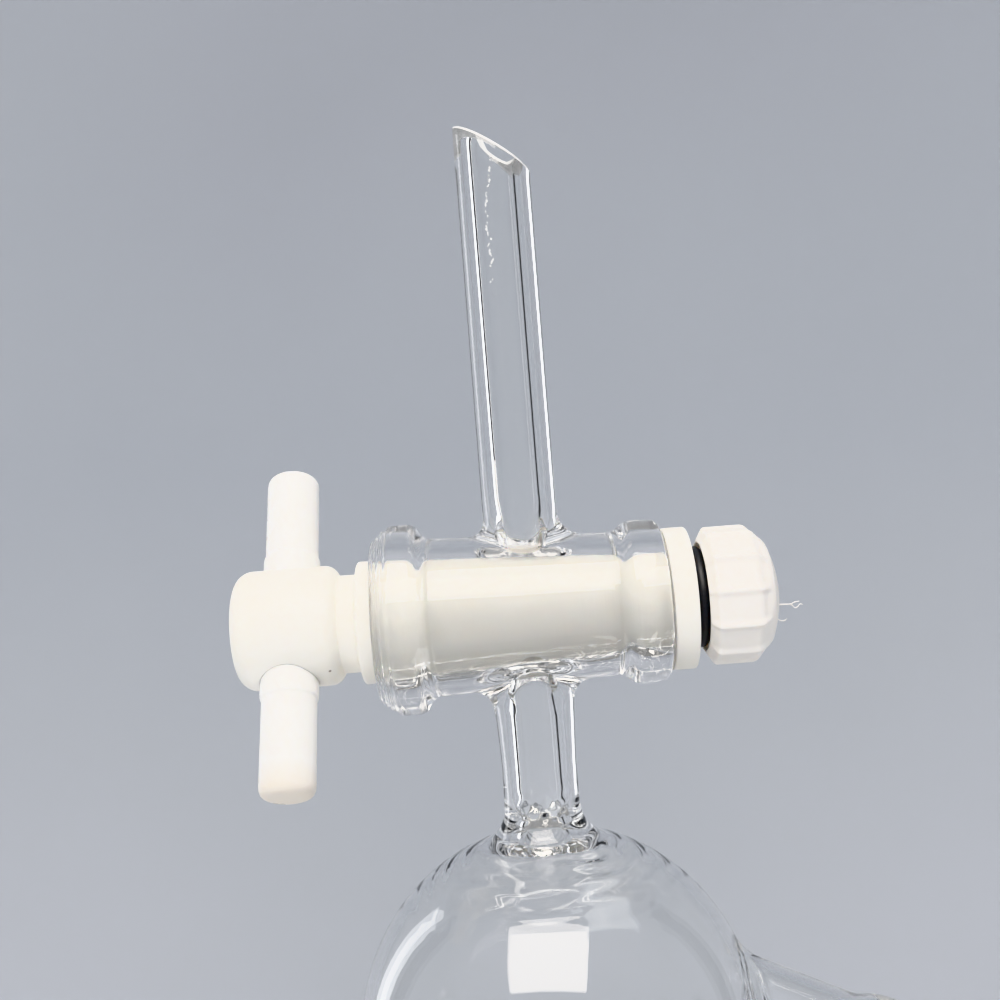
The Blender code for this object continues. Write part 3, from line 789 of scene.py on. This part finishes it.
def make_stopper(origin, axes, socket_r, socket_start, socket, head_r, head):
    """A solid stopper: a ground cone, a waist and a cut octagonal head."""
    foot = socket_start + 1.0 * MM
    shoulder = socket_start + socket + 0.8 * MM
    start = shoulder + 3.6 * MM
    top = start + head
    fit = 0.12 * MM
    foot_r = socket_r + CONE_TAPER * MM - fit
    cone_r = socket_r + CONE_TAPER * (shoulder - socket_start) - fit
    patches = Patches()
    patches.turn(rounded([
        (foot, 0, 0), (foot, foot_r, 0.7 * MM), (foot + 0.8 * MM, foot_r + 0.8 * MM * CONE_TAPER, 0),
    ]), origin, axes)
    patches.turn(dense(np.array([
        [foot + 0.8 * MM, foot_r + 0.8 * MM * CONE_TAPER], [shoulder, cone_r],
    ]), 1.3 * MM), origin, axes, GROUND)

    def cut(rows):
        """Press the head's rows from a circle into an octagon with soft corners."""
        u, v, w = axes
        height = rows @ w
        turn = (np.arctan2(rows @ v, rows @ u) % (np.pi / 4)) - np.pi / 8
        flat = np.minimum(math.cos(np.pi / 8) / np.cos(turn), 0.985)
        radius = np.hypot(rows @ u, rows @ v)
        press = ease(height, start - 0.9 * MM, start + 1.0 * MM) * ease(radius, 0.35 * head_r, 0.8 * head_r)
        scale = (1 + (flat - 1) * press)[..., None]
        axial = height[..., None] * w
        return axial + (rows - axial) * scale

    patches.turn(dense(rounded([
        (shoulder, cone_r, 0),
        (shoulder + 0.5 * MM, cone_r - 0.1 * MM, 0.3 * MM),
        (shoulder + 1.9 * MM, cone_r - 1.5 * MM, 0.9 * MM),
        (start, head_r - 1.3 * MM, 0.8 * MM),
        (start + 1.3 * MM, head_r, 0.5 * MM),
        (top - 1.3 * MM, head_r, 0.5 * MM),
        (top, head_r - 1.3 * MM, 0.5 * MM),
        (top, 0, 0),
    ]), 1.1 * MM), origin, axes, shape=cut)
    return patches


# ---------------------------------------------------------------- materials

class Look:
    """A Principled material and the few nodes that its details are made with."""

    def __init__(self, name, ior=1.45):
        self.material = bpy.data.materials.new(name)
        self.material.use_nodes = True
        self.nodes = self.material.node_tree.nodes
        self.shader = self.nodes["Principled BSDF"]
        self.shader.inputs["IOR"].default_value = ior
        self.place = self.nodes.new("ShaderNodeTexCoord").outputs["Object"]

    def link(self, source, target):
        self.material.node_tree.links.new(source, target)

    def math(self, operation, first, second=0.0):
        node = self.nodes.new("ShaderNodeMath")
        node.operation = operation
        for value, socket in ((first, node.inputs[0]), (second, node.inputs[1])):
            if isinstance(value, (int, float)):
                socket.default_value = value
            else:
                self.link(value, socket)
        return node.outputs[0]

    def noise(self, scale, detail=2.0, stretch=(1, 1, 1)):
        """Noise in metres, squeezed along the piece's axes."""
        mapping = self.nodes.new("ShaderNodeMapping")
        mapping.inputs["Scale"].default_value = stretch
        node = self.nodes.new("ShaderNodeTexNoise")
        node.inputs["Scale"].default_value = scale
        node.inputs["Detail"].default_value = detail
        self.link(self.place, mapping.inputs["Vector"])
        self.link(mapping.outputs["Vector"], node.inputs["Vector"])
        return node.outputs["Fac"]

    def range(self, value, low, high, start=0.3, end=0.7):
        """Carry start..end to low..high, clamped."""
        node = self.nodes.new("ShaderNodeMapRange")
        for name, number in (("From Min", start), ("From Max", end), ("To Min", low), ("To Max", high)):
            node.inputs[name].default_value = number
        self.link(value, node.inputs["Value"])
        return node.outputs["Result"]

    def along(self, direction):
        """How far a point lies along a direction, in metres."""
        node = self.nodes.new("ShaderNodeVectorMath")
        node.operation = "DOT_PRODUCT"
        node.inputs[1].default_value = direction
        self.link(self.place, node.inputs[0])
        return node.outputs["Value"]

    def from_point(self, point):
        node = self.nodes.new("ShaderNodeVectorMath")
        node.operation = "DISTANCE"
        node.inputs[1].default_value = point
        self.link(self.place, node.inputs[0])
        return node.outputs["Value"]

    def mix(self, factor, first, second):
        node = self.nodes.new("ShaderNodeMix")
        node.data_type = "RGBA"
        self.link(factor, node.inputs[0])
        for value, socket in ((first, node.inputs[6]), (second, node.inputs[7])):
            if isinstance(value, tuple):
                socket.default_value = (*value, 1)
            else:
                self.link(value, socket)
        return node.outputs[2]

    def bump(self, height, strength, distance):
        node = self.nodes.new("ShaderNodeBump")
        node.inputs["Strength"].default_value = strength
        node.inputs["Distance"].default_value = distance
        self.link(height, node.inputs["Height"])
        self.link(node.outputs["Normal"], self.shader.inputs["Normal"])


def clear_glass():
    """Blown borosilicate: faint smears, a little unevenness, and scratches up the stem."""
    look = Look("clear_glass", ior=1.474)
    look.shader.inputs["Base Color"].default_value = (0.994, 0.996, 0.993, 1)
    smears = look.range(look.noise(160, 4), 0.0, 0.03, 0.45, 0.75)
    up = look.along(tuple(Z))
    start, end = TIP_Z + 7 * MM, TIP_Z + 29 * MM
    wander = look.range(look.noise(420, 3, (0, 0, 1)), -0.6 * MM, 0.6 * MM)
    lean = look.range(up, 0.2 * MM, 1.5 * MM, start + 0.5 * MM, start + 6.5 * MM)
    beside = look.math("SUBTRACT", look.along(tuple(X)), look.math("ADD", wander, lean))
    line = look.range(look.math("ABSOLUTE", beside), 1, 0, 0.08 * MM, 0.22 * MM)
    broken = look.range(look.noise(2300, 2), 0, 1, 0.5, 0.56)
    stretch = look.math(
        "MULTIPLY",
        look.range(up, 0, 1, start, start + 2 * MM),
        look.range(up, 1, 0, end - 4 * MM, end),
    )
    front = look.range(look.along(tuple(Y)), 1, 0, -3.4 * MM, -3.0 * MM)
    where = look.math("MULTIPLY", stretch, front)
    scratch = look.math("MULTIPLY", look.math("MULTIPLY", line, broken), where)
    rough = look.math("MAXIMUM", smears, look.math("MULTIPLY", scratch, 0.6))
    look.link(rough, look.shader.inputs["Roughness"])
    look.link(look.range(scratch, 1.0, 0.5, 0, 1), look.shader.inputs["Transmission Weight"])
    look.bump(look.noise(120, 1), 0.25, 0.06 * MM)
    return look.material


def ground_glass():
    look = Look("ground_glass", ior=1.474)
    look.shader.inputs["Base Color"].default_value = (0.965, 0.97, 0.965, 1)
    grain = look.noise(2600, 3)
    look.link(look.range(grain, 0.15, 0.4), look.shader.inputs["Transmission Weight"])
    look.link(look.range(grain, 0.4, 0.62), look.shader.inputs["Roughness"])
    look.bump(grain, 0.4, 0.05 * MM)
    return look.material


def white_polymer(name, colour, shade, roughness, soft, lines, strength):
    """White plastic: faint mottling, light under its skin, and the marks of its making."""
    look = Look(name, ior=1.38)
    mottle = look.noise(150, 4)
    tint = look.mix(look.range(mottle, 0, 1), colour, shade)
    look.link(look.range(mottle, *roughness), look.shader.inputs["Roughness"])
    look.shader.inputs["Subsurface Weight"].default_value = soft
    look.shader.inputs["Subsurface Radius"].default_value = (1.0, 0.85, 0.65)
    look.shader.inputs["Subsurface Scale"].default_value = 1.5 * MM
    look.bump(look.noise(*lines), strength, 0.04 * MM)
    return look, tint


def ptfe():
    """Turned PTFE, with lathe lines round its axis and a dark speck in the hub."""
    look, tint = white_polymer(
        "ptfe", (0.955, 0.93, 0.87), (0.93, 0.90, 0.83), (0.34, 0.48), 0.3, (60, 2, (60, 1, 1)), 0.3)
    speck_at = tuple(S + 31.4 * MM * X - 7.0 * MM * Y + 6.5 * MM * Z)
    speck = look.range(look.from_point(speck_at), 1, 0, 0.12 * MM, 0.3 * MM)
    look.link(look.mix(speck, tint, (0.25, 0.2, 0.16)), look.shader.inputs["Base Color"])
    return look.material


def handle_plastic():
    """Moulded white plastic, with painted brownish shade at the end of one arm."""
    look, tint = white_polymer(
        "handle_plastic", (0.935, 0.935, 0.92), (0.915, 0.91, 0.885), (0.26, 0.4), 0.3, (700, 3), 0.1)
    end = HANDLE_HALF + float(S @ HANDLE_ALONG)
    # painted shade: the end of the arm along HANDLE_ALONG is browned to stand in for the warm shade that
    # falls there
    painted_shade = look.range(look.along(tuple(HANDLE_ALONG)), 0, 0.6, end - 5 * MM, end)
    look.link(look.mix(painted_shade, tint, (0.80, 0.70, 0.58)), look.shader.inputs["Base Color"])
    return look.material


def nut_plastic():
    look, tint = white_polymer(
        "nut_plastic", (0.905, 0.88, 0.845), (0.885, 0.855, 0.815), (0.28, 0.42), 0.3, (800, 3), 0.12)
    look.link(tint, look.shader.inputs["Base Color"])
    return look.material


def rubber():
    look = Look("black_rubber", ior=1.5)
    grain = look.noise(2600, 3)
    look.link(
        look.mix(look.range(grain, 0, 1), (0.010, 0.011, 0.014), (0.024, 0.026, 0.032)),
        look.shader.inputs["Base Color"],
    )
    look.link(look.range(grain, 0.35, 0.55), look.shader.inputs["Roughness"])
    look.bump(grain, 0.3, 0.03 * MM)
    return look.material


# ---------------------------------------------------------------- camera and studio

WARM, SOFT_WARM = (1, 0.93, 0.85), (1, 0.945, 0.88)


def camera():
    """The funnel seen upside down and level, its drain stem up."""
    roll = math.radians(4.5)
    right = Vector((-math.cos(roll), 0, math.sin(roll)))
    up = Vector((-math.sin(roll), 0, -math.cos(roll)))
    data = bpy.data.cameras.new("camera")
    data.sensor_width = 36
    data.lens = 45
    data.clip_start = 0.01
    made = bpy.data.objects.new("camera", data)
    aside, rise, distance = 4.35 * MM, 17.74 * MM, 201.6 * MM
    place = Vector(S) - aside * right + rise * up - distance * Vector(Y)
    turn = Matrix((right, up, Vector((0, -1, 0)))).transposed()
    made.matrix_world = Matrix.Translation(place) @ turn.to_4x4()
    bpy.context.collection.objects.link(made)
    bpy.context.scene.camera = made


def softbox(name, place, target, size, power, shade=(1, 1, 1)):
    data = bpy.data.lights.new(name, "AREA")
    data.shape = "RECTANGLE"
    data.size, data.size_y = size
    data.energy = power
    data.color = shade
    made = bpy.data.objects.new(name, data)
    made.location = place
    made.rotation_euler = (Vector(target) - Vector(place)).to_track_quat("-Z", "Y").to_euler()
    made.visible_camera = False
    bpy.context.collection.objects.link(made)
    return made


def dark_card(name, angle):
    """A narrow black card beside the funnel, which only the glass shows, as a dark edge."""
    distance, half_width, low, top = 0.4, 0.045, -0.35, 0.12
    out = np.array([math.sin(angle), math.cos(angle), 0])
    side = half_width * np.array([out[1], -out[0], 0])
    corners = [distance * out + way * side + z * Z for way, z in ((-1, low), (1, low), (1, top), (-1, top))]
    data = bpy.data.meshes.new(name)
    data.from_pydata(corners, [], [(0, 1, 2, 3)])
    card = bpy.data.objects.new(name, data)
    card.visible_camera = card.visible_diffuse = card.visible_shadow = False
    bpy.context.collection.objects.link(card)
    look = Look(name)
    look.shader.inputs["Base Color"].default_value = (0.02, 0.02, 0.02, 1)
    look.shader.inputs["Roughness"].default_value = 1.0
    data.materials.append(look.material)


def studio():
    """A round, seamless pale floor and backdrop, and soft lights."""
    floor_z, reach, cove, height = -0.62, 0.8, 0.5, 1.6
    bend = [
        (floor_z + cove * (1 - math.cos(turn)), reach + cove * math.sin(turn))
        for turn in np.linspace(0, math.pi / 2, 24)
    ]
    bowl = Patches()
    bowl.turn(np.array([(floor_z, 0)] + bend + [(height, reach + cove)]), np.zeros(3), (X, Y, Z), sides=96)
    floor = bpy.data.objects.new("studio_floor", bowl.mesh("studio_floor_mesh", 60))
    floor.data.flip_normals()
    bpy.context.collection.objects.link(floor)
    look = Look("pale_floor")
    look.link(
        look.mix(look.range(look.noise(1.5, 3), 0, 1), (0.61, 0.64, 0.69), (0.64, 0.67, 0.72)),
        look.shader.inputs["Base Color"],
    )
    look.shader.inputs["Roughness"].default_value = 0.9
    floor.data.materials.append(look.material)
    world = bpy.data.worlds.new("studio")
    world.use_nodes = True
    world.node_tree.nodes["Background"].inputs["Color"].default_value = (1.0, 0.985, 0.96, 1)
    world.node_tree.nodes["Background"].inputs["Strength"].default_value = 0.27
    bpy.context.scene.world = world
    middle = tuple(S)
    strip_z = -85 * MM
    softbox("under_light", (0.03, -0.24, -0.39), middle, (0.36, 0.31), 2.6, WARM)
    front = softbox("front_fill", (0.25, -0.55, -0.02), middle, (0.6, 0.5), 0.25, WARM)
    back = softbox("back_fill", (-0.3, 0.55, 0.2), middle, (0.6, 0.5), 2.0, WARM)
    for fill in (front, back):
        fill.visible_glossy = fill.visible_transmission = False
    softbox("side_strip", (0.415, 0.28, strip_z), (0, 0, strip_z), (0.09, 0.44), 0.35)
    softbox("high_light", (0.35, -0.3, 0.7), middle, (0.5, 0.5), 1.4)
    for number, (way, power) in enumerate(((Y, 2.9), (-X, 3.6), (-Y, 13.0), (X, 3.6))):
        place, target = 0.2 * way + 0.9 * Z, 1.2 * way + 0.6 * Z
        softbox(f"backdrop_light_{number}", place, target, (0.9, 0.4), power, SOFT_WARM)
    dark_card("left_card", math.radians(72))
    dark_card("right_card", math.radians(-72))
    bpy.context.scene.view_settings.view_transform = "Khronos PBR Neutral"
    bpy.context.scene.cycles.max_bounces = 24
    bpy.context.scene.cycles.transmission_bounces = 24
    bpy.context.scene.cycles.glossy_bounces = 12


# ---------------------------------------------------------------- the funnel

glass, ground = clear_glass(), ground_glass()
white, moulded, cap, black = ptfe(), handle_plastic(), nut_plastic(), rubber()

build(
    "glass_vessel", make_glass_body(), [glass, ground], "glass_body",
    [
        "stem", "stopcock_barrel", "drain_neck", "globe_bowl",
        "globe_belt", "globe_crown", "top_neck", "side_neck",
    ],
    flow=flow_marks,
)
build("plug_turned", make_plug(), [white], "plug", ["stopcock_plug"])
build("washer_turned", make_washer(), [white], "plug", ["washer"])
build("cross_bar", make_handle_bar(), [moulded], "plug", ["handle_bar"])
build("rubber_ring", make_o_ring(), [black], "seal", ["o_ring"])
build("cap_nut", make_nut(), [cap], "nut", ["nut"], sharp=50)
build("gate_thread", make_gate_thread(), [cap], "nut")
build(
    "top_stopper_cut",
    make_stopper(
        np.zeros(3), (X, Y, Z), TOP_SOCKET_R, TOP_RIM_Z - TOP_SOCKET, TOP_SOCKET,
        TOP_STOPPER_R, TOP_STOPPER_HEAD,
    ),
    [glass, ground], "top_stopper", ["top_stopper"], sharp=30,
)
build(
    "side_stopper_cut",
    make_stopper(
        SIDE_FOOT, (np.cross(Y, SIDE_AXIS), Y, SIDE_AXIS), SIDE_SOCKET_R, SIDE_SOCKET_START, SIDE_SOCKET,
        SIDE_STOPPER_R, SIDE_STOPPER_HEAD,
    ),
    [glass, ground], "side_stopper", ["side_stopper"], sharp=30,
)

camera()
studio()
